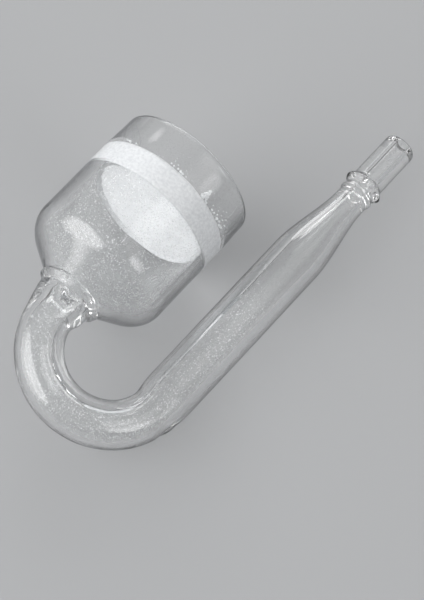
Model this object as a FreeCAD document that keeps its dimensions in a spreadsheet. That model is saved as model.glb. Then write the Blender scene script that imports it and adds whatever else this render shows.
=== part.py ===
import FreeCAD, Part
import math
import os
import Sketcher

# Carbon dioxide diffuser for an aquarium, made of clear borosilicate glass.
#
# A wide cup holds a white porous disc a little below its mouth. The cup's cone runs down
# into a thick-walled tube, which turns back on itself in a J, rises beside the cup as a
# straight stem, draws down in a taper and ends in a nipple for the gas hose.
#
# Every piece is modelled about its own axis, local Y, with its radii along local X. The
# diffuser then lies as it rests on a table, on the side of its cup and the side of its
# stem: +Y is the way the mouth and the nipple point, +X runs from the cup to the stem and
# +Z is up from the table. The origin is at the middle of the footprint.

# Alias, millimetres (degrees for cone_slope), and what it is.
DIMENSIONS = [
    ("cup_radius", 13.0, "outer radius of the cup's wall"),
    ("cup_wall", 2.0, "thickness of the cup's glass"),
    ("cup_height", 30.0, "from the rim down to the end of the cone"),
    ("shoulder_radius", 5.0, "outer radius of the shoulder between wall and cone"),
    ("cone_slope", 35.0, "angle of the cone to the plane across the axis"),
    ("neck_radius", 5.4, "outer radius where the cone ends"),
    ("neck_bore", 2.9, "inner radius where the cone ends"),
    ("lip_radius", 0.65, "radius of the fire-polished lip"),
    ("lip_inset", 0.2, "how much narrower the lip is than the wall"),
    ("lip_depth", 3.0, "how far below the rim the wall starts to thin"),
    ("disc_radius", 10.8, "radius of the porous disc"),
    ("disc_thickness", 4.5, "thickness of the porous disc"),
    ("disc_depth", 6.2, "from the rim down to the top of the disc"),
    ("disc_chamfer", 0.15, "worn edge of the disc"),
    ("bond_bead", 0.5, "leg of the fillet of bond under the disc's edge"),
    ("neck_weld_radius", 6.1, "outer radius of the fused ring at the neck"),
    ("neck_weld_length", 1.6, "length of the fused ring at the neck"),
    ("flare_radius", 5.1, "outer radius of the tube's mouth at the neck"),
    ("flare_length", 1.9, "length of the two flared ends of the bend"),
    ("bend_radius", 4.1, "outer radius of the tube in the bend"),
    ("tube_bore", 2.5, "inner radius of the tube in the bend"),
    ("axis_spacing", 23.1, "from the cup's axis to the stem's axis"),
    ("stem_radius", 4.58, "outer radius of the stem"),
    ("stem_bore", 2.6, "inner radius of the stem"),
    ("stem_length", 35.2, "length of the straight stem"),
    ("taper_length", 14.0, "length of the taper"),
    ("taper_radius", 2.75, "outer radius at the narrow end of the taper"),
    ("taper_bore", 1.2, "inner radius at the narrow end of the taper"),
    ("ring_radius", 3.05, "outer radius of the fused ring below the bead"),
    ("ring_length", 1.7, "length of the fused ring below the bead"),
    ("bead_radius", 3.45, "outer radius of the bead that stops the hose"),
    ("bead_length", 2.6, "length of the bead"),
    ("nipple_radius", 2.82, "outer radius of the hose nipple"),
    ("nipple_bore", 1.05, "inner radius of the hose nipple"),
    ("nipple_length", 9.4, "length of the hose nipple"),
    ("nipple_round", 0.8, "radius of the nipple's fire-polished tip"),
    ("bore_chamfer", 0.25, "opening at the mouth of the nipple's bore"),
]

doc = FreeCAD.newDocument("co2_diffuser")

sheet = doc.addObject("Spreadsheet::Sheet", "dims")
for row, (alias, value, meaning) in enumerate(DIMENSIONS, start=1):
    sheet.set("A%d" % row, meaning)
    sheet.set("B%d" % row, str(value))
    sheet.setAlias("B%d" % row, alias)
doc.recompute()


def size(expression):
    """The value of an expression in the sheet's aliases, in millimetres."""
    return float(sheet.evalExpression(expression))


def arc_between(start, end, radius, bulge):
    """A sketch arc of under half a turn that bulges to the left or the right of its chord."""
    chord = end - start
    to_left = FreeCAD.Vector(-chord.y, chord.x, 0).normalize()
    reach = math.sqrt(radius**2 - chord.Length**2 / 4)
    side = 1 if bulge == "right" else -1
    centre = (start + end) * 0.5 + to_left * (side * reach)
    first, last = (start, end) if bulge == "right" else (end, start)
    begin = math.atan2(first.y - centre.y, first.x - centre.x)
    finish = math.atan2(last.y - centre.y, last.x - centre.x)
    circle = Part.Circle(centre, FreeCAD.Vector(0, 0, 1), radius)
    return Part.ArcOfCircle(circle, begin, finish if finish > begin else finish + 2 * math.pi)


def bind(sketch, constraint, name, expression):
    """Add a dimension to a sketch and bind it to an expression in the sheet's aliases."""
    index = sketch.addConstraint(constraint)
    sketch.renameConstraint(index, name)
    sketch.setExpression("Constraints." + name, expression)


def new_sketch(body, name, plane):
    """A sketch on one of the body's own origin planes."""
    sketch = body.newObject("Sketcher::SketchObject", name)
    origin_plane = [f for f in body.Origin.OriginFeatures if f.Role == plane][0]
    sketch.AttachmentSupport = (origin_plane, [""])
    sketch.MapMode = "FlatFace"
    return sketch


def draw_outline(sketch, corners):
    """Draw a closed outline whose corners and arcs are bound to the sheet.

    Each corner is (x, y) or (x, y, bulge, radius), where the last two make the edge to the
    next corner an arc. Sizes are expressions in the sheet's aliases.
    """
    points = [FreeCAD.Vector(size(c[0]), size(c[1]), 0) for c in corners]
    ends = []
    for index, corner in enumerate(corners):
        start = points[index]
        end = points[(index + 1) % len(points)]
        if len(corner) == 4:
            sketch.addGeometry(arc_between(start, end, size(corner[3]), corner[2]))
            ends.append((1, 2) if corner[2] == "right" else (2, 1))
        else:
            sketch.addGeometry(Part.LineSegment(start, end))
            ends.append((1, 2))
    for index, corner in enumerate(corners):
        following = (index + 1) % len(corners)
        sketch.addConstraint(
            Sketcher.Constraint("Coincident", index, ends[index][1], following, ends[following][0])
        )
        for axis, expression in (("X", corner[0]), ("Y", corner[1])):
            value = size(expression)
            constraint = Sketcher.Constraint("Distance" + axis, index, ends[index][0], value)
            bind(sketch, constraint, "%s_%d" % (axis.lower(), index), expression)
        if len(corner) == 4:
            constraint = Sketcher.Constraint("Radius", index, size(corner[3]))
            bind(sketch, constraint, "arc_%d" % index, corner[3])


def turn(body, name, corners):
    """Add a full turn of an outline about the body's own Y axis."""
    sketch = new_sketch(body, name + "_outline", "XY_Plane")
    draw_outline(sketch, corners)
    feature = body.newObject("PartDesign::Revolution", name)
    feature.Profile = sketch
    feature.ReferenceAxis = (sketch, ["V_Axis"])
    feature.Angle = 360
    return feature


def new_body(label, across, along):
    """A body on the cup's axis moved across the J by one distance and along it by another."""
    body = doc.addObject("PartDesign::Body", label)
    body.Label = label
    lean = math.asin((size("dims.cup_radius") - size("dims.stem_radius")) / size("dims.axis_spacing"))
    stem_x = size("dims.axis_spacing") * math.cos(lean)
    width = size("dims.cup_radius") + stem_x + size("dims.stem_radius")
    cup_axis = FreeCAD.Vector(size("dims.cup_radius") - width / 2, 0, size("dims.cup_radius"))
    rim_y = (size(LOWEST) - size(HIGHEST)) / 2
    rotation = FreeCAD.Rotation(FreeCAD.Vector(0, 1, 0), math.degrees(lean))
    step = FreeCAD.Vector(size(across), size(along) + rim_y, 0)
    body.Placement = FreeCAD.Placement(cup_axis + rotation.multVec(step), rotation)
    return body


# Heights along the axes, from the rim, up towards the mouth.
NECK = "(-dims.cup_height)"
FLARE = "(-dims.cup_height - dims.neck_weld_length)"
BEND = "(-dims.cup_height - dims.neck_weld_length - dims.flare_length)"
TAPER = "(%s + dims.stem_length)" % FLARE
RING = "(%s + dims.taper_length)" % TAPER
BEAD = "(%s + dims.ring_length)" % RING
NIPPLE = "(%s + dims.bead_length)" % BEAD
HIGHEST = "(%s + dims.nipple_length)" % NIPPLE
LOWEST = "(-%s + dims.axis_spacing / 2 + dims.bend_radius)" % BEND


def make_cup():
    """The cup: thin lip, straight wall, rounded shoulder and cone, all one even wall."""
    body = new_body("diffuser_cup", "0", "0")
    wall = "dims.cup_wall"
    bore = "(dims.cup_radius - dims.cup_wall)"
    lip_outer = "dims.cup_radius - dims.lip_inset"
    lip_inner = "dims.cup_radius - dims.lip_inset - 2 * dims.lip_radius"
    lip_middle = "dims.cup_radius - dims.lip_inset - dims.lip_radius"
    turn_x = "(dims.cup_radius - dims.shoulder_radius * (1 - sin(dims.cone_slope)))"
    turn_y = "(%s + (%s - dims.neck_radius) * tan(dims.cone_slope))" % (NECK, turn_x)
    wall_end = "(%s + dims.shoulder_radius * cos(dims.cone_slope))" % turn_y
    inner_turn_x = "(%s - %s * sin(dims.cone_slope))" % (turn_x, wall)
    inner_turn_y = "(%s + %s * cos(dims.cone_slope))" % (turn_y, wall)
    inner_end = "(%s - (%s - dims.neck_bore) * tan(dims.cone_slope))" % (inner_turn_y, inner_turn_x)
    turn(body, "cup_wall", [
        (lip_outer, "-dims.lip_radius"),
        ("dims.cup_radius", "-dims.lip_depth"),
        ("dims.cup_radius", wall_end, "left", "dims.shoulder_radius"),
        (turn_x, turn_y),
        ("dims.neck_radius", NECK),
        ("dims.neck_bore", NECK),
        ("dims.neck_bore", inner_end),
        (inner_turn_x, inner_turn_y, "right", "dims.shoulder_radius - dims.cup_wall"),
        (bore, wall_end),
        (bore, "-dims.lip_depth"),
        (lip_inner, "-dims.lip_radius", "left", "dims.lip_radius"),
        (lip_middle, "0", "left", "dims.lip_radius"),
    ])
    return body


def make_disc():
    """The porous ceramic disc, which breaks the gas into fine bubbles."""
    body = new_body("ceramic_disc", "0", "-dims.disc_depth - dims.disc_thickness")
    edge = "dims.disc_radius - dims.disc_chamfer"
    turn(body, "disc", [
        ("0", "0"),
        (edge, "0"),
        ("dims.disc_radius", "dims.disc_chamfer"),
        ("dims.disc_radius", "dims.disc_thickness - dims.disc_chamfer"),
        (edge, "dims.disc_thickness"),
        ("0", "dims.disc_thickness"),
    ])
    return body


def make_bond():
    """The layer that bonds the disc's side to the glass, with a fillet under its edge."""
    body = new_body("disc_bond", "0", "-dims.disc_depth - dims.disc_thickness")
    bore = "dims.cup_radius - dims.cup_wall"
    turn(body, "bond", [
        (bore, "-dims.bond_bead"),
        (bore, "dims.disc_thickness - dims.disc_chamfer"),
        ("dims.disc_radius", "dims.disc_thickness - dims.disc_chamfer"),
        ("dims.disc_radius", "dims.disc_chamfer"),
        ("dims.disc_radius - dims.disc_chamfer", "0"),
        ("dims.disc_radius - dims.bond_bead", "0"),
    ])
    return body


def make_bulge(label, across, along, length, ends, middle, bores):
    """A ring of fused glass: an outline bulging from its end radii to its middle radius."""
    body = new_body(label, across, along)
    # The radius of an arc that stands the rise above the middle of its chord.
    rise = "(%s - (%s + %s) / 2)" % (middle, ends[0], ends[1])
    chord_squared = "(%s^2 + (%s - %s)^2)" % (length, ends[0], ends[1])
    radius = "(%s / 4 + %s^2) / (2 * %s)" % (chord_squared, rise, rise)
    turn(body, label + "_turn", [
        (ends[0], "0", "right", radius),
        (ends[1], length),
        (bores[1], length),
        (bores[0], "0"),
    ])
    return body


def make_bend():
    """The J: a half-circle of tube, flared to meet the neck and the stem."""
    body = new_body("j_bend_tube", "0", BEND)
    section = new_sketch(body, "tube_section", "XZ_Plane")
    for index, radius in enumerate(("dims.bend_radius", "dims.tube_bore")):
        circle = Part.Circle(FreeCAD.Vector(0, 0, 0), FreeCAD.Vector(0, 0, 1), size(radius))
        sketch_circle = section.addGeometry(circle)
        section.addConstraint(Sketcher.Constraint("Coincident", sketch_circle, 3, -1, 1))
        constraint = Sketcher.Constraint("Radius", sketch_circle, size(radius))
        bind(section, constraint, "radius_%d" % index, radius)
    path = new_sketch(body, "bend_path", "XY_Plane")
    turn_radius = "dims.axis_spacing / 2"
    centre = FreeCAD.Vector(size(turn_radius), 0, 0)
    circle = Part.Circle(centre, FreeCAD.Vector(0, 0, 1), size(turn_radius))
    path.addGeometry(Part.ArcOfCircle(circle, math.pi, 2 * math.pi))
    path.addConstraint(Sketcher.Constraint("Coincident", 0, 1, -1, 1))
    path.addConstraint(Sketcher.Constraint("PointOnObject", 0, 3, -1))
    path.addConstraint(Sketcher.Constraint("PointOnObject", 0, 2, -1))
    bind(path, Sketcher.Constraint("Radius", 0, size(turn_radius)), "turn_radius", turn_radius)
    pipe = body.newObject("PartDesign::AdditivePipe", "half_circle")
    pipe.Profile = section
    pipe.Spine = path
    doc.recompute()
    turn(body, "neck_flare", [
        ("dims.bend_radius", "0"),
        ("dims.flare_radius", "dims.flare_length"),
        ("dims.neck_bore", "dims.flare_length"),
        ("dims.tube_bore", "0"),
    ])
    doc.recompute()
    stem_end = new_sketch(body, "stem_end_outline", "XY_Plane")
    draw_outline(stem_end, [
        ("dims.axis_spacing + dims.bend_radius", "0"),
        ("dims.axis_spacing + dims.stem_radius", "dims.flare_length"),
        ("dims.axis_spacing + dims.stem_bore", "dims.flare_length"),
        ("dims.axis_spacing + dims.tube_bore", "0"),
    ])
    axis = stem_end.addGeometry(
        Part.LineSegment(
            FreeCAD.Vector(size("dims.axis_spacing"), 0, 0),
            FreeCAD.Vector(size("dims.axis_spacing"), size("dims.flare_length"), 0),
        ),
        True,
    )
    for end in (1, 2):
        constraint = Sketcher.Constraint("DistanceX", axis, end, size("dims.axis_spacing"))
        bind(stem_end, constraint, "axis_x_%d" % end, "dims.axis_spacing")
    flare = body.newObject("PartDesign::Revolution", "stem_flare")
    flare.Profile = stem_end
    flare.ReferenceAxis = (stem_end, ["Axis0"])
    flare.Angle = 360
    return body


def make_stem():
    """The straight stem, a plain thick-walled tube beside the cup."""
    body = new_body("stem_tube", "dims.axis_spacing", FLARE)
    turn(body, "stem", [
        ("dims.stem_radius", "0"),
        ("dims.stem_radius", "dims.stem_length"),
        ("dims.stem_bore", "dims.stem_length"),
        ("dims.stem_bore", "0"),
    ])
    return body


def make_taper():
    """The stem drawn down to the nipple's width: an S of two equal arcs, inside and out."""
    body = new_body("stem_taper", "dims.axis_spacing", TAPER)
    s_arc = "(dims.taper_length^2 + (%s - %s)^2) / (4 * (%s - %s))"
    outer = ("dims.stem_radius", "dims.taper_radius")
    inner = ("dims.stem_bore", "dims.taper_bore")
    half = "dims.taper_length / 2"
    turn(body, "taper", [
        (outer[0], "0", "right", s_arc % (outer * 2)),
        ("(%s + %s) / 2" % outer, half, "left", s_arc % (outer * 2)),
        (outer[1], "dims.taper_length"),
        (inner[1], "dims.taper_length", "right", s_arc % (inner * 2)),
        ("(%s + %s) / 2" % inner, half, "left", s_arc % (inner * 2)),
        (inner[0], "0"),
    ])
    return body


def make_nipple():
    """The nipple that the gas hose is pushed over, with a rounded tip."""
    body = new_body("hose_nipple", "dims.axis_spacing", NIPPLE)
    turn(body, "nipple", [
        ("dims.nipple_radius", "0"),
        ("dims.nipple_radius", "dims.nipple_length - dims.nipple_round", "right", "dims.nipple_round"),
        ("dims.nipple_radius - dims.nipple_round", "dims.nipple_length"),
        ("dims.nipple_bore + dims.bore_chamfer", "dims.nipple_length"),
        ("dims.nipple_bore", "dims.nipple_length - dims.bore_chamfer"),
        ("dims.nipple_bore", "0"),
    ])
    return body


pieces = [
    make_cup(),
    make_disc(),
    make_bond(),
    make_bulge(
        "neck_weld", "0", FLARE, "dims.neck_weld_length",
        ("dims.flare_radius", "dims.neck_radius"), "dims.neck_weld_radius",
        ("dims.neck_bore", "dims.neck_bore"),
    ),
    make_bend(),
    make_stem(),
    make_taper(),
    make_bulge(
        "taper_weld_ring", "dims.axis_spacing", RING, "dims.ring_length",
        ("dims.taper_radius", "dims.taper_radius"), "dims.ring_radius",
        ("dims.taper_bore", "dims.nipple_bore"),
    ),
    make_bulge(
        "hose_stop_bead", "dims.axis_spacing", BEAD, "dims.bead_length",
        ("dims.taper_radius", "dims.nipple_radius"), "dims.bead_radius",
        ("dims.nipple_bore", "dims.nipple_bore"),
    ),
    make_nipple(),
]
doc.recompute()

for item in doc.Objects:
    if "Invalid" in item.State or "Error" in item.State:
        raise RuntimeError("%s failed: %s" % (item.Label, item.State))
for piece in pieces:
    if piece.Shape.isNull() or not piece.Shape.isValid() or len(piece.Shape.Solids) != 1:
        raise RuntimeError("%s has no single valid solid" % piece.Label)

os.makedirs("parts", exist_ok=True)
for piece in pieces:
    piece.Shape.exportStep("parts/%s.step" % piece.Label)
    box = piece.Shape.optimalBoundingBox(True, False)
    print(
        "%-16s %8.1f mm3  x %6.2f %6.2f  y %6.2f %6.2f  z %6.2f %6.2f"
        % (piece.Label, piece.Shape.Volume, box.XMin, box.XMax, box.YMin, box.YMax, box.ZMin, box.ZMax)
    )
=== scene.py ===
"""Looks of a carbon dioxide diffuser: lampworked clear glass round a white porous disc."""
import math
import random
from collections import namedtuple

import bmesh
import bpy
import numpy as np
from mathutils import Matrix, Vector, noise


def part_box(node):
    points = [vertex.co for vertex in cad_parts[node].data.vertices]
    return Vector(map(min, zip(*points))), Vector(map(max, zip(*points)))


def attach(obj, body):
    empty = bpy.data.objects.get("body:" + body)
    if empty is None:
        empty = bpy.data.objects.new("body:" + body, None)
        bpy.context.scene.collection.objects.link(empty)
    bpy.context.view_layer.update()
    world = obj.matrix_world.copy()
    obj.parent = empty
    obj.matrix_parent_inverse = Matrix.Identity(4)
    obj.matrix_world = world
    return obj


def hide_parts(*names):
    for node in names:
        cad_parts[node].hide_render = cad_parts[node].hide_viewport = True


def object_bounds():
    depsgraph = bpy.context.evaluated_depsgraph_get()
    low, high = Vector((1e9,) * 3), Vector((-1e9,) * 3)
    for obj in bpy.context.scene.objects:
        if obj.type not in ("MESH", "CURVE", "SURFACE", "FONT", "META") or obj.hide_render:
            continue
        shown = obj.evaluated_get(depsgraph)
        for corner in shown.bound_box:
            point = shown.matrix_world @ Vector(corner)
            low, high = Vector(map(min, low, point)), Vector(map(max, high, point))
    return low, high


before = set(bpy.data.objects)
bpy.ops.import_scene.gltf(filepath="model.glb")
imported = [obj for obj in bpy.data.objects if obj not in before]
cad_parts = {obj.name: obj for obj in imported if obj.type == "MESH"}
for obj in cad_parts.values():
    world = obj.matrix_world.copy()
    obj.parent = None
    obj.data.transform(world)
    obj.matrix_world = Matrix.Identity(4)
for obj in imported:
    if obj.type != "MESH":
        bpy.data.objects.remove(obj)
CAD_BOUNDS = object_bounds()

MM = 0.001
FULL_TURN = 2 * math.pi

# ---------------------------------------------------------------- sizes from the frame


def middle(node):
    """The middle of a node's box, in metres."""
    low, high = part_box(node)
    return (Vector(low) + Vector(high)) / 2


def half_width(node):
    """Half of a node's height, which is the outer radius of a piece that lies along Y."""
    low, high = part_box(node)
    return (high[2] - low[2]) / 2


CUP_AXIS = middle("diffuser_cup")
STEM_AXIS = middle("stem_tube")
RIM_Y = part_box("diffuser_cup")[1][1]
TIP_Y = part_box("hose_nipple")[1][1]
CUP_RADIUS = half_width("diffuser_cup")
STEM_RADIUS = half_width("stem_tube")
NIPPLE_RADIUS = half_width("hose_nipple")
DISC_LOW_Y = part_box("ceramic_disc")[0][1]
DISC_HIGH_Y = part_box("ceramic_disc")[1][1]
DISC_RADIUS = half_width("ceramic_disc")
CUP_BORE = half_width("disc_bond")
CUP_WALL = CUP_RADIUS - CUP_BORE

# Sizes that no box gives, the same as in the CAD model.
CONE_SLOPE = math.radians(35)
SHOULDER_RADIUS = 5 * MM
LIP_RADIUS = 0.65 * MM
LIP_INSET = 0.2 * MM
NECK_RADIUS = 5.4 * MM
NECK_BORE = 2.9 * MM
FLARE_LENGTH = 1.9 * MM
BEND_RADIUS = 4.1 * MM
STEM_BORE = 2.6 * MM
TAPER_RADIUS = 2.75 * MM
TAPER_BORE = 1.2 * MM
NIPPLE_BORE = 1.05 * MM
TIP_ROUND = 0.8 * MM

# Sizes given here, which differ a little from the CAD model's.
LIP_DEPTH = 7 * MM
FLARE_RADIUS = 4.95 * MM
TUBE_BORE = 2.45 * MM
MOUTH_ROUND = 0.2 * MM

# The two axes are parallel to Y. ACROSS points from the cup's to the stem's, square to them,
# and FACING is square to the plane of the J.
SPACING = math.hypot(STEM_AXIS.x - CUP_AXIS.x, STEM_AXIS.z - CUP_AXIS.z)
ACROSS = np.array([STEM_AXIS.x - CUP_AXIS.x, 0, STEM_AXIS.z - CUP_AXIS.z]) / SPACING
FACING = np.array([-ACROSS[2], 0, ACROSS[0]])
ALONG = np.array([0, 1.0, 0])
TURN = SPACING / 2
TURN_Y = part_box("j_bend_tube")[1][1] - FLARE_LENGTH
TURN_START = RIM_Y - TURN_Y
TURN_END = TURN_START + math.pi * TURN


def up_stem(y):
    """Distance along the glass, from the rim and round the bend, of a place on the stem."""
    return TURN_END + y - TURN_Y


# Distances along the glass where one section is fused to the next.
NECK = RIM_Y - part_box("neck_weld")[1][1]
NECK_END = RIM_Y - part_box("neck_weld")[0][1]
STEM = up_stem(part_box("stem_tube")[0][1])
TAPER = up_stem(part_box("stem_taper")[0][1])
RING = up_stem(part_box("taper_weld_ring")[0][1])
BEAD = up_stem(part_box("hose_stop_bead")[0][1])
NIPPLE = up_stem(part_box("hose_nipple")[0][1])
TIP = up_stem(TIP_Y)
SEAMS = (NECK, NECK_END, STEM, TAPER, RING, BEAD, NIPPLE)

# Distances along the glass to the middles of its three rings.
WELD_MIDDLE = (NECK + NECK_END) / 2
RING_MIDDLE = (RING + BEAD) / 2
BEAD_MIDDLE = (BEAD + NIPPLE) / 2

# ---------------------------------------------------------------- the glass as one surface


def ease(at, start, end):
    """0 before start, 1 after end, and an S between them."""
    t = np.clip((at - start) / (end - start), 0, 1)
    return t * t * (3 - 2 * t)


def hump(at, centre, width):
    """A smooth hump, 1 at its centre."""
    return np.exp(-(((at - centre) / width) ** 2))


def soft_most(values, blend):
    """The largest of the values, with their crossings rounded off."""
    values = np.array(values)
    top = values.max(axis=0)
    return top + blend * np.log(np.exp((values - top) / blend).sum(axis=0))


def cup_profile(s, radius, shoulder):
    """Radius of the wall, its shoulder and its cone at s, for a wall of that radius."""
    turn_radius = radius - shoulder * (1 - math.sin(CONE_SLOPE))
    offset = (SHOULDER_RADIUS - shoulder) * math.cos(CONE_SLOPE)
    outer_turn = CUP_RADIUS - SHOULDER_RADIUS * (1 - math.sin(CONE_SLOPE))
    turn_at = NECK - (outer_turn - NECK_RADIUS) * math.tan(CONE_SLOPE) - offset
    wall_end = turn_at - shoulder * math.cos(CONE_SLOPE)
    reach = np.clip(s - wall_end, 0, shoulder * math.cos(CONE_SLOPE))
    rounded = radius - shoulder + np.sqrt(shoulder**2 - reach**2)
    cone = turn_radius - (s - turn_at) / math.tan(CONE_SLOPE)
    return np.where(s < turn_at, rounded, np.maximum(cone, 0))


# The three rings: how far each stands out from the tube, and how far along it reaches.
WELD_HEIGHT = 1.05 * MM
WELD_REACH = 0.75 * MM
RING_HEIGHT = 0.42 * MM
RING_REACH = 0.55 * MM
BEAD_HEIGHT = 0.85 * MM
BEAD_REACH = 0.85 * MM
RING_FOOT = TAPER_RADIUS - 0.1 * MM

# How softly one form of the glass runs into the next, on its outside and in its bore.
OUTER_BLEND = 0.09 * MM
INNER_BLEND = 0.15 * MM


def outer_radius(s):
    """Outer radius of the glass at distance s from the rim."""
    cup = cup_profile(s, CUP_RADIUS, SHOULDER_RADIUS)
    cup -= LIP_INSET * (1 - ease(s, LIP_RADIUS, LIP_DEPTH))
    flare_end = TURN_START + 3 * MM
    tube = FLARE_RADIUS + (BEND_RADIUS - FLARE_RADIUS) * ease(s, NECK_END, flare_end)
    tube += WELD_HEIGHT * hump(s, WELD_MIDDLE - 0.45 * MM, WELD_REACH)
    tube += (STEM_RADIUS - BEND_RADIUS) * ease(s, TURN_END - 3 * MM, STEM + 1 * MM)
    tube += (TAPER_RADIUS - STEM_RADIUS) * ease(s, TAPER - 1.5 * MM, RING)
    tube += (NIPPLE_RADIUS - TAPER_RADIUS) * ease(s, RING, NIPPLE)
    ring = RING_FOOT + RING_HEIGHT * hump(s, RING_MIDDLE, RING_REACH)
    bead = RING_FOOT + BEAD_HEIGHT * hump(s, BEAD_MIDDLE, BEAD_REACH)
    near_rings = s > RING - 2 * MM
    ring = np.where(near_rings, ring, 0.0)
    bead = np.where(near_rings, bead, 0.0)
    return soft_most([cup, tube, ring, bead], OUTER_BLEND)


def inner_radius(s):
    """Inner radius of the glass at distance s from the rim."""
    cup = cup_profile(s, CUP_BORE, SHOULDER_RADIUS - CUP_WALL)
    lip_bore = CUP_RADIUS - LIP_INSET - 2 * LIP_RADIUS
    cup += (lip_bore - CUP_BORE) * (1 - ease(s, LIP_RADIUS, LIP_DEPTH))
    tube = NECK_BORE + (TUBE_BORE - NECK_BORE) * ease(s, NECK, TURN_START)
    tube += (STEM_BORE - TUBE_BORE) * ease(s, TURN_END, STEM)
    tube += (TAPER_BORE - STEM_BORE) * ease(s, TAPER - 1 * MM, RING)
    tube += (NIPPLE_BORE - TAPER_BORE) * ease(s, RING, BEAD)
    return soft_most([cup, tube], INNER_BLEND)


def spine(s):
    """Centre of the glass at s, and the direction there away from the inside of the J."""
    s = np.asarray(s)[:, None]
    angle = np.clip((s - TURN_START) / TURN, 0, math.pi)
    outward = -np.cos(angle) * ACROSS - np.sin(angle) * ALONG
    turn_centre = np.array([CUP_AXIS.x, TURN_Y, CUP_AXIS.z]) + ACROSS * TURN
    centre = turn_centre + outward * TURN
    centre = centre + np.maximum(TURN_START - s, 0) * ALONG
    centre = centre + np.maximum(s - TURN_END, 0) * ALONG
    return centre, outward


def lumps(points, size, seed):
    """Smooth noise from -1 to 1 at each point, with lumps of about that size."""
    shift = Vector((seed * 17.3, seed * 5.1, seed * 11.7))
    return np.array([noise.noise(Vector(p) / size + shift) for p in points])


# Lumps that the flame left in both skins, at the rings and just past the neck: the middle of
# the stretch, its reach along the glass, and the height and size of the lumps.
WORKED = (
    (WELD_MIDDLE - 0.3 * MM, 1.0 * MM, 0.22 * MM, 2.6 * MM),
    (WELD_MIDDLE, 1.3 * MM, 0.14 * MM, 1.1 * MM),
    (WELD_MIDDLE + 2.6 * MM, 2.2 * MM, 0.06 * MM, 2.2 * MM),
    (BEAD_MIDDLE, 1.1 * MM, 0.16 * MM, 1.3 * MM),
    (RING_MIDDLE, 0.8 * MM, 0.12 * MM, 1.0 * MM),
)
INNER_SEED = 40
BORE_SHIFT = 0.3 * MM
NICK_DEPTH = 0.16 * MM
NICK_RIDGE = 0.12 * MM


def handwork(s, angle, points, inside):
    """How far a flame and a hand have pushed the glass out of round, in metres."""
    seed = INNER_SEED if inside else 0
    push = np.zeros(len(points))
    for number, (centre, reach, height, size) in enumerate(WORKED, start=1):
        push += height * hump(s, centre, reach) * lumps(points, size, seed + number)
    in_bend = ease(s, TURN_START, TURN_START + 6 * MM) * (1 - ease(s, TURN_END - 6 * MM, TURN_END))
    push += 0.05 * MM * in_bend * lumps(points, 5.0 * MM, seed + 6)
    # Drawn tube has faint lines along it, so these lumps are stretched along Y.
    tube = ease(s, NECK_END, TURN_START + 2 * MM)
    push += 0.02 * MM * tube * lumps(points * (1, 0.12, 1), 1.6 * MM, seed + 7)
    if inside:
        # The bore runs nearer the outside of the bend, where the wall was stretched.
        push += BORE_SHIFT * in_bend * np.cos(angle)
        push += 0.16 * MM * hump(s, BEAD_MIDDLE, 1.6 * MM) * lumps(points, 0.7 * MM, 61)
        # From the rim to well below the disc the bore is true.
        push *= ease(s, NECK - 9 * MM, NECK - 3 * MM)
    else:
        # Shoulder and cone were paddled to shape, and the wall of the cup is truer.
        cup = 1 - ease(s, NECK - 1 * MM, NECK)
        low_cup = cup * ease(s, NECK - 12 * MM, NECK - 5 * MM)
        push += 0.07 * MM * low_cup * lumps(points, 6.5 * MM, 8)
        # The bend was joined to the stem with a small nick on the outer side.
        side = np.clip(np.cos(angle), 0, 1) ** 4
        push -= NICK_DEPTH * side * hump(s, TURN_END - 2.9 * MM, 0.5 * MM)
        push += NICK_RIDGE * side * hump(s, TURN_END - 1.7 * MM, 0.7 * MM)
    return push


# A row of points round the glass: how far along it, its radius where that is stated rather
# than found from the distance, and whether it is on the bore's side.
Row = namedtuple("Row", "s radius inside")

# Points in each row, the spacing of rows along plain and worked glass, and the rows that
# round off the tip, the mouth of its bore and the lip.
ROUND = 144
COARSE = 0.55 * MM
FINE = 0.16 * MM
TIP_STEPS = 9
MOUTH_STEPS = 6
LIP_STEPS = 13


def steps(start, end):
    """Places from start to end, closer together where the glass is worked, without the last."""
    at_neck = NECK - 4 * MM < (start + end) / 2 < NECK_END + 3 * MM
    at_nipple = min(start, end) > RING - 1 * MM
    spacing = FINE if at_neck or at_nipple else COARSE
    count = max(2, round(abs(end - start) / spacing))
    return list(np.linspace(start, end, count + 1)[:-1])


def glass_rows():
    """Rows of the whole glass surface, round a closed profile.

    They run down the outside from the lip to the tip, then back up the bore to the lip.
    Returns the rows, and the numbers of the outer and the inner row at each seam.
    """
    rows = []
    outer_at = []
    inner_at = []
    shoulder_start = NECK - 8.5 * MM
    stops = [LIP_RADIUS, LIP_DEPTH, shoulder_start, NECK - 4 * MM, *SEAMS]
    for start, end in zip(stops, stops[1:] + [TIP - TIP_ROUND]):
        if start in SEAMS:
            outer_at.append(len(rows))
        for s in steps(start, end):
            rows.append(Row(s, None, False))
    for turn in np.linspace(0, math.pi / 2, TIP_STEPS):
        at = TIP - TIP_ROUND + TIP_ROUND * math.sin(turn)
        rows.append(Row(at, NIPPLE_RADIUS - TIP_ROUND + TIP_ROUND * math.cos(turn), False))
    for turn in np.linspace(math.pi / 2, 0, MOUTH_STEPS):
        at = TIP - MOUTH_ROUND + MOUTH_ROUND * math.sin(turn)
        rows.append(Row(at, NIPPLE_BORE + MOUTH_ROUND - MOUTH_ROUND * math.cos(turn), True))
    bore_start = TIP - MOUTH_ROUND - 0.2 * MM
    back = [bore_start, *reversed(stops)]
    for start, end in zip(back, back[1:]):
        if start in SEAMS:
            inner_at.append(len(rows))
        for s in steps(start, end):
            rows.append(Row(s, None, True))
    lip_middle = CUP_RADIUS - LIP_INSET - LIP_RADIUS
    for turn in np.linspace(math.pi, 0, LIP_STEPS)[:-1]:
        at = LIP_RADIUS - LIP_RADIUS * math.sin(turn)
        rows.append(Row(at, lip_middle + LIP_RADIUS * math.cos(turn), turn > math.pi / 2))
    return rows, outer_at, list(reversed(inner_at))


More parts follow.
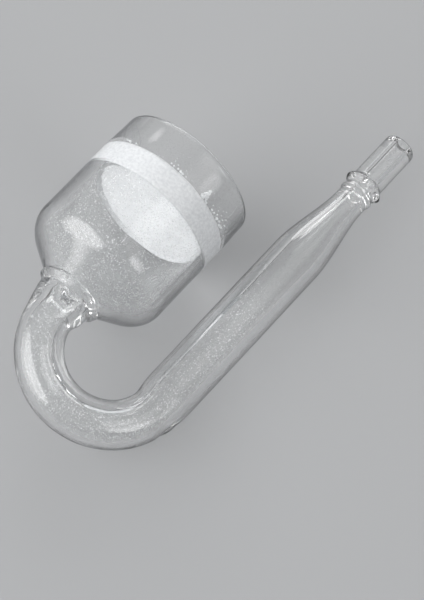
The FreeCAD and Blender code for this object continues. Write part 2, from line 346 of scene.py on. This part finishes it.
def glass_surface(rows):
    """Points and outward normals of the rows, each an array of row, angle and X, Y, Z."""
    s = np.array([row.s for row in rows])
    inside = np.array([row.inside for row in rows])
    radius = np.where(inside, inner_radius(s), outer_radius(s))
    stated = [row.radius is not None for row in rows]
    radius[stated] = [row.radius for row in rows if row.radius is not None]
    centre, outward = spine(s)
    angle = np.linspace(0, FULL_TURN, ROUND, endpoint=False)
    spokes = np.cos(angle)[None, :, None] * outward[:, None]
    spokes = spokes + np.sin(angle)[None, :, None] * FACING
    plain = centre[:, None] + spokes * radius[:, None, None]
    push = np.empty(plain.shape[:2])
    for side in (False, True):
        mine = inside == side
        flat = plain[mine].reshape(-1, 3)
        at = np.repeat(s[mine], ROUND)
        turned = np.tile(angle, mine.sum())
        push[mine] = handwork(at, turned, flat, side).reshape(-1, ROUND)
    points = plain + spokes * push[:, :, None]
    down = np.roll(points, -1, axis=0) - np.roll(points, 1, axis=0)
    around = np.roll(points, -1, axis=1) - np.roll(points, 1, axis=1)
    normals = np.cross(around, down)
    normals /= np.linalg.norm(normals, axis=2, keepdims=True)
    # The outside comes first, so this row is on it, and its normals should point along spokes.
    outer_row = len(rows) // 8
    if (normals[outer_row] * spokes[outer_row]).sum() < 0:
        normals = -normals
    return points, normals


OUTER_GLASS, INNER_GLASS, SEAM = 0, 1, 2


def add_object(name, data):
    """A new object in the scene."""
    made = bpy.data.objects.new(name, data)
    bpy.context.scene.collection.objects.link(made)
    return made


def face_normals(mesh):
    """The flat normal of each face."""
    flat = np.empty(len(mesh.polygons) * 3)
    mesh.polygons.foreach_get("normal", flat)
    return flat.reshape(-1, 3)


def joined_faces(runs, rows):
    """Faces between each row and the next, round the closed profile, and the kind of each."""
    numbers = [number for run in runs for number in run]
    seam_after = set(np.cumsum([len(run) for run in runs]) - 1)
    faces = []
    kinds = []
    for row in range(len(numbers)):
        following = (row + 1) % len(numbers)
        if row in seam_after:
            kind = SEAM
        elif rows[numbers[row]].inside and rows[numbers[following]].inside:
            kind = INNER_GLASS
        else:
            kind = OUTER_GLASS
        here = row * ROUND
        there = following * ROUND
        for j in range(ROUND):
            k = (j + 1) % ROUND
            faces.append((here + j, here + k, there + k, there + j))
            kinds.append(kind)
    return faces, np.array(kinds, dtype=np.int32)


def glass_piece(name, runs, points, normals, rows):
    """A closed mesh of runs of rows, joined end to end by flat seams inside the glass."""
    numbers = [number for run in runs for number in run]
    vertices = points[numbers].reshape(-1, 3)
    smooth = normals[numbers].reshape(-1, 3)
    faces, kinds = joined_faces(runs, rows)
    is_seam = kinds == SEAM
    mesh = bpy.data.meshes.new(name)
    mesh.from_pydata(vertices.tolist(), [], faces)
    mesh.polygons.foreach_set("material_index", kinds)
    first = np.array([face[0] for face in faces])
    outward = (face_normals(mesh) * smooth[first]).sum(axis=1)[~is_seam].mean()
    if outward < 0:
        mesh.flip_normals()
    corners = np.empty(len(mesh.loops), dtype=np.int32)
    mesh.loops.foreach_get("vertex_index", corners)
    corner_normals = smooth[corners]
    at_seam = np.repeat(is_seam, 4)
    corner_normals[at_seam] = np.repeat(face_normals(mesh), 4, axis=0)[at_seam]
    mesh.polygons.foreach_set("use_smooth", ~is_seam)
    mesh.normals_split_custom_set(corner_normals.tolist())
    mesh.update()
    return add_object(name, mesh)


def section_runs(outer_at, inner_at, total):
    """The runs of rows that make each section of the glass, from the cup to the nipple."""
    cup = [list(range(inner_at[0], total)) + list(range(outer_at[0] + 1))]
    tip = [list(range(outer_at[-1], inner_at[-1] + 1))]
    between = []
    for index in range(len(outer_at) - 1):
        outside = list(range(outer_at[index], outer_at[index + 1] + 1))
        bore = list(range(inner_at[index + 1], inner_at[index] + 1))
        between.append([outside, bore])
    return [cup, *between, tip]


# ---------------------------------------------------------------- disc, bond and crumbs


# Faces round the disc and the bond.
TURNED_ROUND = 160


def turned_piece(name, profile, roughen, lump_size, seed):
    """A closed piece turned round the cup's axis from (radius, y), roughened by lumps.

    The profile runs from the axis out and back to the axis, or is a closed ring.
    """
    form = bmesh.new()
    rings = []
    for radius, y in profile:
        if radius == 0:
            rings.append([form.verts.new((CUP_AXIS.x, y, CUP_AXIS.z))])
            continue
        ring = []
        for step in range(TURNED_ROUND):
            turn = FULL_TURN * step / TURNED_ROUND
            point = Vector((math.sin(turn), 0, math.cos(turn))) * radius
            ring.append(form.verts.new((CUP_AXIS.x + point.x, y, CUP_AXIS.z + point.z)))
        rings.append(ring)
    starts_on_axis = len(rings[0]) == 1
    following = rings[1:] if starts_on_axis else rings[1:] + rings[:1]
    for near, far in zip(rings, following):
        for step in range(TURNED_ROUND):
            after = (step + 1) % TURNED_ROUND
            if len(near) == 1:
                form.faces.new((near[0], far[step], far[after]))
            elif len(far) == 1:
                form.faces.new((near[step], far[0], near[after]))
            else:
                form.faces.new((near[step], far[step], far[after], near[after]))
    bmesh.ops.recalc_face_normals(form, faces=form.faces)
    form.normal_update()
    shift = Vector((seed * 3.7, seed * 9.1, seed * 1.3))
    moves = [noise.noise(v.co / lump_size + shift) * roughen for v in form.verts]
    for vertex, move in zip(form.verts, moves):
        vertex.co += vertex.normal * move
    mesh = bpy.data.meshes.new(name)
    form.to_mesh(mesh)
    form.free()
    mesh.polygons.foreach_set("use_smooth", [True] * len(mesh.polygons))
    return add_object(name, mesh)


DISC_EDGE = 0.22 * MM
DISC_EDGE_STEPS = 6
DISC_FACE_STEPS = 26


def make_disc(material):
    """The porous disc, with worn edges and a face that isn't quite flat."""
    flat_radius = DISC_RADIUS - DISC_EDGE
    flat_steps = [flat_radius * step / DISC_FACE_STEPS for step in range(1, DISC_FACE_STEPS)]
    profile = [(0, DISC_LOW_Y)]
    profile += [(radius, DISC_LOW_Y) for radius in flat_steps]
    for turn in np.linspace(-math.pi / 2, 0, DISC_EDGE_STEPS):
        out = flat_radius + DISC_EDGE * math.cos(turn)
        profile.append((out, DISC_LOW_Y + DISC_EDGE + DISC_EDGE * math.sin(turn)))
    for turn in np.linspace(0, math.pi / 2, DISC_EDGE_STEPS):
        out = flat_radius + DISC_EDGE * math.cos(turn)
        profile.append((out, DISC_HIGH_Y - DISC_EDGE + DISC_EDGE * math.sin(turn)))
    profile += [(radius, DISC_HIGH_Y) for radius in reversed(flat_steps)]
    profile.append((0, DISC_HIGH_Y))
    piece = turned_piece("porous_disc", profile, roughen=0.04 * MM, lump_size=0.9 * MM, seed=3)
    piece.data.materials.append(material)
    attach(piece, "root")
    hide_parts("ceramic_disc")


# The bond: the gap that it fills, how far it goes into the glass and into the disc so that
# nothing shows between them, and its fillet's leg and hollow.
BOND_GAP = 0.2 * MM
BOND_WETTING = 0.03 * MM
BOND_OVERLAP = 0.1 * MM
BOND_FILLET = 0.5 * MM
BOND_SAG = 0.35
BOND_FILLET_STEPS = 12
BOND_SIDE_STEPS = 14


def make_bond(material):
    """The bond: it wets the glass, so it reaches a hair past the bore, with a fillet below."""
    outer = CUP_BORE + BOND_WETTING
    inner = DISC_RADIUS - BOND_OVERLAP
    top = DISC_HIGH_Y - DISC_EDGE
    foot = DISC_LOW_Y - BOND_FILLET
    profile = [(inner, DISC_LOW_Y + BOND_OVERLAP)]
    fillet_width = BOND_FILLET + BOND_OVERLAP + BOND_GAP + BOND_WETTING
    for step in range(BOND_FILLET_STEPS + 1):
        share = step / BOND_FILLET_STEPS
        sag = BOND_SAG * math.sin(math.pi * share)
        radius = inner - BOND_FILLET + fillet_width * share
        y = DISC_LOW_Y - BOND_FILLET * share * (1 - sag * (1 - share))
        profile.append((min(radius, outer), y))
    for step in range(1, BOND_SIDE_STEPS + 1):
        profile.append((outer, foot + (top - foot) * step / BOND_SIDE_STEPS))
    profile.append(((outer + inner) / 2, top + 0.05 * MM))
    profile.append((inner, top))
    name = "disc_bond_layer"
    piece = turned_piece(name, profile, roughen=0.012 * MM, lump_size=0.5 * MM, seed=5)
    piece.data.materials.append(material)
    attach(piece, "root")
    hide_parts("disc_bond")


# Crumbs of ceramic left on the wall just above the disc: degrees round from the top of the
# cup towards the stem, height above the disc and size, in millimetres.
LONE_CRUMBS = (
    (18, 0.2, 0.5), (15, 0.3, 0.3), (20.5, 0.2, 0.36), (11, 0.2, 0.3), (8, 0.3, 0.26),
    (13, 0.8, 0.2), (9, 1.0, 0.16), (24, 0.2, 0.2), (58, 0.8, 0.2), (60, 0.2, 0.32),
    (64, 0.3, 0.3), (66, 1.2, 0.2), (70, 2.0, 0.15), (68, 0.7, 0.24), (71, 0.3, 0.4),
    (72, 1.3, 0.2), (74, 2.5, 0.16), (75, 0.5, 0.3), (77, 1.2, 0.22), (79, 0.3, 0.4),
    (81, 1.9, 0.2), (83, 0.5, 0.36), (85, 1.3, 0.24), (-38, 0.3, 0.4), (-43, 0.5, 0.3),
    (-30, 0.2, 0.26), (160, 0.3, 0.4), (205, 0.25, 0.34), (47.6, 1.8, 0.5), (48.6, 1.5, 0.4),
)

# The heap, in the same degrees and millimetres, where spread is half of its width at the foot.
HEAP_COUNT = 46
HEAP_AT = 47
HEAP_SPREAD = 4.4
HEAP_LEAN = 0.5
HEAP_HEIGHT = 1.6
HEAP_SIZES = (0.16, 0.5)
CRUMB_SEED = 11


def crumb_places():
    """Every crumb: the lone ones and a small heap that narrows upwards."""
    chance = random.Random(CRUMB_SEED)
    heap = []
    for _ in range(HEAP_COUNT):
        share = 1 - math.sqrt(chance.random())
        spread = HEAP_SPREAD * (1 - share)
        degrees = HEAP_AT + HEAP_LEAN * share + chance.uniform(-spread, spread)
        heap.append((degrees, HEAP_HEIGHT * share, chance.uniform(*HEAP_SIZES)))
    return [*LONE_CRUMBS, *heap]


def make_crumbs(material):
    """Small broken lumps that cling to the inner wall."""
    form = bmesh.new()
    for number, (degrees, height, size) in enumerate(crumb_places()):
        turn = math.radians(degrees)
        out = Vector((math.sin(turn), 0, math.cos(turn)))
        centre = Vector((CUP_AXIS.x, DISC_HIGH_Y + height * MM, CUP_AXIS.z))
        centre += out * (CUP_BORE - size * 0.4 * MM)
        made = bmesh.ops.create_icosphere(form, subdivisions=2, radius=size * MM / 2)
        shift = Vector((number * 2.9, number * 0.7, 4.0))
        for vertex in made["verts"]:
            lump = 1 + 1.1 * noise.noise(vertex.co / (size * 0.3 * MM) + shift)
            vertex.co = centre + vertex.co * lump
    mesh = bpy.data.meshes.new("ceramic_crumbs")
    form.to_mesh(mesh)
    form.free()
    piece = add_object("ceramic_crumbs", mesh)
    piece.data.materials.append(material)
    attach(piece, "root")


# ---------------------------------------------------------------- materials


def grey(level):
    """A colour with the same red, green and blue."""
    return (level, level, level)


class Nodes:
    """The nodes of a material, lamp or world, with short calls for what they share."""

    def __init__(self, owner, output="OutputMaterial"):
        owner.use_nodes = True
        self.tree = owner.node_tree
        self.tree.nodes.clear()
        self.output = self.add(output)

    def add(self, kind, **values):
        """A new node, with its inputs set by name."""
        node = self.tree.nodes.new("ShaderNode" + kind)
        for name, value in values.items():
            node.inputs[name.replace("_", " ")].default_value = value
        return node

    def link(self, source, target):
        """Join an output to an input."""
        self.tree.links.new(source, target)

    def show(self, shader):
        """Make a shader the one that the surface has."""
        self.link(shader, self.output.inputs["Surface"])

    def place(self):
        """Where a point is on the object, in metres."""
        return self.add("TexCoord").outputs["Object"]

    def part_of(self, vector, axis):
        """The X, Y or Z of a vector."""
        split = self.add("SeparateXYZ")
        self.link(vector, split.inputs[0])
        return split.outputs[axis]

    def grain(self, size, detail=2.0, roughness=0.5):
        """Noise from 0 to 1 whose grains are about that many metres across."""
        node = self.add("TexNoise", Scale=1 / size, Detail=detail, Roughness=roughness)
        self.link(self.place(), node.inputs["Vector"])
        return node.outputs["Fac"]

    def between(self, source, old, new, kind="LINEAR"):
        """A value mapped from one range, low and high, to another, and held there."""
        node = self.add("MapRange", From_Min=old[0], From_Max=old[1], To_Min=new[0], To_Max=new[1])
        node.interpolation_type = kind
        self.link(source, node.inputs["Value"])
        return node.outputs["Result"]

    def math(self, operation, *values):
        """The result of an operation on values, each of which is a number or an output."""
        node = self.add("Math")
        node.operation = operation
        for target, value in zip(node.inputs, values):
            if isinstance(value, float):
                target.default_value = value
            else:
                self.link(value, target)
        return node.outputs[0]

    def ramp(self, source, *stops):
        """The colour that a value picks from stops, each a position and a colour."""
        node = self.add("ValToRGB")
        first, *inner, last = stops
        elements = node.color_ramp.elements
        for element, (position, colour) in zip(elements, (first, last)):
            element.position = position
            element.color = (*colour, 1)
        for position, colour in inner:
            elements.new(position).color = (*colour, 1)
        self.link(source, node.inputs["Fac"])
        return node.outputs["Color"]

    def bump(self, height, distance, strength):
        """A normal from a height map."""
        node = self.add("Bump", Distance=distance, Strength=strength)
        self.link(height, node.inputs["Height"])
        return node.outputs["Normal"]

    def switch(self, ray, shader, other):
        """A shader that is another one for rays of one kind."""
        mix = self.add("MixShader")
        self.link(self.add("LightPath").outputs[ray], mix.inputs[0])
        self.link(shader, mix.inputs[1])
        self.link(other, mix.inputs[2])
        return mix.outputs[0]

    def lamps_pass(self, glass, tint):
        """Glass that lamps and soft light reach through, darker where they graze it."""
        facing = self.add("LayerWeight", Blend=0.35).outputs["Facing"]
        grazed = tint * 0.42
        clear = self.add("BsdfTransparent")
        shade = self.ramp(facing, (0.4, grey(tint)), (0.92, grey(grazed)))
        self.link(shade, clear.inputs["Color"])
        glass = self.switch("Is Diffuse Ray", glass, clear.outputs[0])
        glass = self.switch("Is Shadow Ray", glass, clear.outputs[0])
        self.show(glass)


GLASS_IOR = 1.473
CERAMIC_IOR = 1.5


def clear_glass(name, over_bond):
    """The outer skin: fire-polished, with the faint waves and smears of a handled piece.

    The base colour darkens towards the silhouettes, a painted dark outline that stands in for
    shade. Over_bond keeps this painted shade off the cup's wall where the white bond lies behind.
    """
    material = bpy.data.materials.new(name)
    nodes = Nodes(material)
    glass = nodes.add("BsdfPrincipled", Transmission_Weight=1.0, IOR=GLASS_IOR)
    # Painted shade: the base colour is darkened by how edge-on the skin is seen, drawing a dark
    # outline at the silhouettes.
    edge_shade_weight = nodes.add("LayerWeight", Blend=0.5).outputs["Facing"]
    if over_bond:
        # Over the bond the painted edge shade is left out.
        y = nodes.part_of(nodes.place(), "Y")
        bond_low = (DISC_LOW_Y - 0.7 * MM, DISC_LOW_Y - 0.4 * MM)
        bond_high = (DISC_HIGH_Y - 0.3 * MM, DISC_HIGH_Y)
        below = nodes.between(y, bond_low, (1.0, 0.0))
        above = nodes.between(y, bond_high, (0.0, 1.0))
        edge_shade_weight = nodes.math("MULTIPLY", edge_shade_weight, nodes.math("ADD", below, above))
    # The clear tint in the middle darkens to the painted edge shade where the skin is seen
    # edge-on.
    clear = (0.985, 0.99, 0.99)
    painted_edge_shade = (0.06, 0.065, 0.07)
    tint = nodes.ramp(edge_shade_weight, (0.42, clear), (0.78, painted_edge_shade))
    smears = nodes.between(nodes.grain(7 * MM, 4.0, 0.6), (0.5, 0.75), (0.0, 0.06))
    waves = nodes.grain(3.5 * MM, 1.0)
    nodes.link(tint, glass.inputs["Base Color"])
    nodes.link(smears, glass.inputs["Roughness"])
    nodes.link(nodes.bump(waves, 0.02 * MM, 0.6), glass.inputs["Normal"])
    nodes.lamps_pass(glass.outputs[0], 0.99)
    return material


def dusty_glass():
    """The inner skin, with a dry film of fine white specks left by tank water."""
    material = bpy.data.materials.new("dusty_glass")
    nodes = Nodes(material)
    glass = nodes.add("BsdfPrincipled", IOR=GLASS_IOR)
    cells = nodes.add("TexVoronoi", Scale=1 / (0.28 * MM))
    nodes.link(nodes.place(), cells.inputs["Vector"])
    dots = nodes.between(cells.outputs["Distance"], (0.14, 0.42), (1.0, 0.0))
    strength = nodes.between(nodes.grain(0.5 * MM, 0.0), (0.4, 0.63), (0.12, 1.0))
    # The specks lie loose on the skin, so where the glass reflects totally they don't show.
    mirror = nodes.add("Fresnel", IOR=GLASS_IOR).outputs[0]
    loose = nodes.between(mirror, (0.3, 0.95), (1.0, 0.0))
    patches = nodes.between(nodes.grain(6 * MM, 3.0, 0.6), (0.35, 0.65), (0.5, 1.0))
    # The film is thickest below the disc, and thins towards the rim and up the stem.
    y = nodes.part_of(nodes.place(), "Y")
    wetted = nodes.between(y, (-2 * MM, 7 * MM), (1.0, 0.3))
    dust = nodes.math("MULTIPLY", dots, strength)
    for share in (loose, patches, wetted):
        dust = nodes.math("MULTIPLY", dust, share)
    clear = (0.97, 0.975, 0.975)
    white = (0.83, 0.845, 0.86)
    nodes.link(nodes.ramp(dust, (0.0, clear), (0.4, white)), glass.inputs["Base Color"])
    nodes.link(nodes.between(dust, (0.0, 1.0), (1.0, 0.0)), glass.inputs["Transmission Weight"])
    nodes.link(nodes.between(dust, (0.1, 0.5), (0.02, 0.5)), glass.inputs["Roughness"])
    nodes.lamps_pass(glass.outputs[0], 0.97)
    return material


def seam_in_glass():
    """Where two sections are fused there is only glass, so the seam shows nothing."""
    material = bpy.data.materials.new("fused_seam")
    nodes = Nodes(material)
    nodes.show(nodes.add("BsdfTransparent").outputs[0])
    return material


def white_solid(nodes, roughness, colour, normal):
    """Finish a material as an opaque white solid."""
    body = nodes.add("BsdfPrincipled", Roughness=roughness, IOR=CERAMIC_IOR)
    nodes.link(colour, body.inputs["Base Color"])
    nodes.link(normal, body.inputs["Normal"])
    nodes.show(body.outputs[0])


def porous_ceramic():
    """White sintered ceramic: matt, with fine grain and pores and a slightly uneven tone."""
    material = bpy.data.materials.new("porous_ceramic")
    nodes = Nodes(material)
    grain = nodes.grain(0.22 * MM, 4.0, 0.65)
    patches = nodes.math("MULTIPLY", nodes.grain(4 * MM, 3.0), 0.4)
    tone = nodes.math("MULTIPLY_ADD", grain, 0.6, patches)
    colour = nodes.ramp(tone, (0.3, (0.805, 0.82, 0.84)), (0.62, (0.93, 0.945, 0.96)))
    white_solid(nodes, 0.88, colour, nodes.bump(grain, 0.12 * MM, 0.8))
    return material


def bright_crumb():
    """Freshly broken ceramic: about as white as the disc, and a little smoother."""
    material = bpy.data.materials.new("broken_ceramic")
    nodes = Nodes(material)
    tone = nodes.grain(0.1 * MM, 3.0, 0.6)
    colour = nodes.ramp(tone, (0.3, (0.79, 0.805, 0.825)), (0.55, (0.94, 0.955, 0.97)))
    white_solid(nodes, 0.8, colour, nodes.bump(tone, 0.05 * MM, 0.6))
    return material


def milky_bond():
    """The bond: not as white as the disc, and smoother."""
    material = bpy.data.materials.new("milky_bond")
    nodes = Nodes(material)
    tone = nodes.grain(0.5 * MM, 4.0, 0.6)
    colour = nodes.ramp(tone, (0.35, (0.64, 0.655, 0.675)), (0.65, (0.785, 0.8, 0.815)))
    white_solid(nodes, 0.45, colour, nodes.bump(tone, 0.05 * MM, 0.5))
    return material


# ---------------------------------------------------------------- the glassware

# Each section of glass and the CAD node that it stands for, from the cup to the nipple.
SECTIONS = (
    ("cup_glass", "diffuser_cup"),
    ("neck_weld_glass", "neck_weld"),
    ("bend_glass", "j_bend_tube"),
    ("stem_glass", "stem_tube"),
    ("taper_glass", "stem_taper"),
    ("weld_ring_glass", "taper_weld_ring"),
    ("hose_stop_glass", "hose_stop_bead"),
    ("nipple_glass", "hose_nipple"),
)


def make_glassware():
    """The eight fused sections of glass, which meet at seams inside the glass."""
    rows, outer_at, inner_at = glass_rows()
    points, normals = glass_surface(rows)
    plain_skin = clear_glass("clear_glass", over_bond=False)
    cup_skin = clear_glass("clear_cup_glass", over_bond=True)
    inner_skin = dusty_glass()
    seam = seam_in_glass()
    for (name, node), runs in zip(SECTIONS, section_runs(outer_at, inner_at, len(rows))):
        piece = glass_piece(name, runs, points, normals, rows)
        outer_skin = cup_skin if name == "cup_glass" else plain_skin
        # In the order of OUTER_GLASS, INNER_GLASS and SEAM.
        for skin in (outer_skin, inner_skin, seam):
            piece.data.materials.append(skin)
        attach(piece, "root")
        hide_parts(node)


# ---------------------------------------------------------------- floor, light and camera

FLOOR_RADIUS = 1.15
FLOOR_COLOUR = (0.365, 0.37, 0.378, 1)


def make_floor():
    """A plain pale table top."""
    bpy.ops.mesh.primitive_circle_add(vertices=96, radius=FLOOR_RADIUS, fill_type="NGON")
    floor = bpy.context.object
    floor.name = "floor"
    material = bpy.data.materials.new("pale_floor")
    nodes = Nodes(material)
    nodes.show(nodes.add("BsdfPrincipled", Base_Color=FLOOR_COLOUR, Roughness=0.75).outputs[0])
    floor.data.materials.append(material)


# The softboxes: name, azimuth and elevation in degrees, width and height in metres, radiance,
# and where the fade to the edges starts, as a share of the width from the middle.
SOFTBOXES = (
    ("front_softbox", -143, 30, 2.2, 2.0, 3.4, 0.36),
    ("right_softbox", 58, 45, 1.7, 1.4, 0.9, 0.2),
    ("left_softbox", -38, 27, 1.05, 0.8, 5.4, 0.4),
    ("side_softbox", 94, 28, 1.2, 0.95, 3.2, 0.25),
    ("back_softbox", 18, 12, 1.8, 0.4, 3, 0.3),
)
LAMP_DISTANCE = 1.5


def fade_to_edges(lamp, start):
    """Make a lamp fade from start, a share of its width from the middle, to its edges."""
    nodes = Nodes(lamp, "OutputLight")
    offset = nodes.add("VectorMath")
    offset.operation = "SUBTRACT"
    offset.inputs[1].default_value = (0.5, 0.5, 0)
    nodes.link(nodes.add("NewGeometry").outputs["Parametric"], offset.inputs[0])
    reach = nodes.add("VectorMath")
    reach.operation = "LENGTH"
    nodes.link(offset.outputs["Vector"], reach.inputs[0])
    emission = nodes.add("Emission")
    fade = nodes.between(reach.outputs["Value"], (start, 0.5), (1.0, 0.0), "SMOOTHSTEP")
    nodes.link(fade, emission.inputs["Strength"])
    nodes.show(emission.outputs[0])


def softbox(name, azimuth, elevation, width, height, radiance, fade_start):
    """A rectangular softbox that faces the object; azimuth 0 is +Y and 90 is +X."""
    a = math.radians(azimuth)
    e = math.radians(elevation)
    toward = Vector((math.sin(a) * math.cos(e), math.cos(a) * math.cos(e), math.sin(e)))
    data = bpy.data.lights.new(name, "AREA")
    data.shape = "RECTANGLE"
    data.size = width
    data.size_y = height
    data.energy = radiance * math.pi * width * height
    fade_to_edges(data, fade_start)
    lamp = add_object(name, data)
    lamp.location = toward * LAMP_DISTANCE
    lamp.rotation_mode = "QUATERNION"
    lamp.rotation_quaternion = (-toward).to_track_quat("-Z", "Y")
    lamp.visible_camera = False


def make_world():
    """A world that is dark near the horizon, and plain and pale where the camera sees it."""
    world = bpy.data.worlds.new("studio")
    bpy.context.scene.world = world
    nodes = Nodes(world, "OutputWorld")
    up = nodes.part_of(nodes.add("TexCoord").outputs["Generated"], "Z")
    stops = ((0.0, grey(0.22)), (0.25, grey(0.2)), (0.6, grey(0.3)), (1.0, grey(0.55)))
    dim = nodes.add("Background")
    nodes.link(nodes.ramp(up, *stops), dim.inputs["Color"])
    pale = nodes.add("Background", Color=(0.51, 0.515, 0.52, 1))
    nodes.show(nodes.switch("Is Camera Ray", dim.outputs[0], pale.outputs[0]))


# Where the camera looks from, and the place that it looks at, from the middle of the object.
CAMERA_AZIMUTH = math.radians(39.1)
CAMERA_ELEVATION = math.radians(59.5)
CAMERA_DISTANCE = 0.55
CAMERA_AIM = Vector((9.84, -4.7, -6.34)) * MM
FOCAL_LENGTH = 200
SENSOR_WIDTH = 36


def make_camera():
    """A long lens from above the base of the cup, to one side."""
    low, high = CAD_BOUNDS
    target = (low + high) / 2 + CAMERA_AIM
    back = Vector((
        math.sin(CAMERA_AZIMUTH) * math.cos(CAMERA_ELEVATION),
        -math.cos(CAMERA_AZIMUTH) * math.cos(CAMERA_ELEVATION),
        math.sin(CAMERA_ELEVATION),
    ))
    data = bpy.data.cameras.new("camera")
    data.sensor_width = SENSOR_WIDTH
    data.lens = FOCAL_LENGTH
    data.clip_start = 0.01
    data.clip_end = 20
    camera = add_object("camera", data)
    camera.location = target + back * CAMERA_DISTANCE
    camera.rotation_mode = "QUATERNION"
    camera.rotation_quaternion = (-back).to_track_quat("-Z", "Y")
    bpy.context.scene.camera = camera


def set_light_paths():
    """Enough bounces for light that crosses many walls of glass, and plain tones."""
    scene = bpy.context.scene
    scene.cycles.max_bounces = 24
    scene.cycles.transmission_bounces = 24
    scene.cycles.glossy_bounces = 12
    scene.cycles.transparent_max_bounces = 32
    scene.cycles.caustics_reflective = False
    scene.cycles.caustics_refractive = False
    scene.view_settings.view_transform = "Standard"


make_glassware()
make_disc(porous_ceramic())
make_bond(milky_bond())
make_crumbs(bright_crumb())
make_floor()
for settings in SOFTBOXES:
    softbox(*settings)
make_world()
make_camera()
set_light_paths()
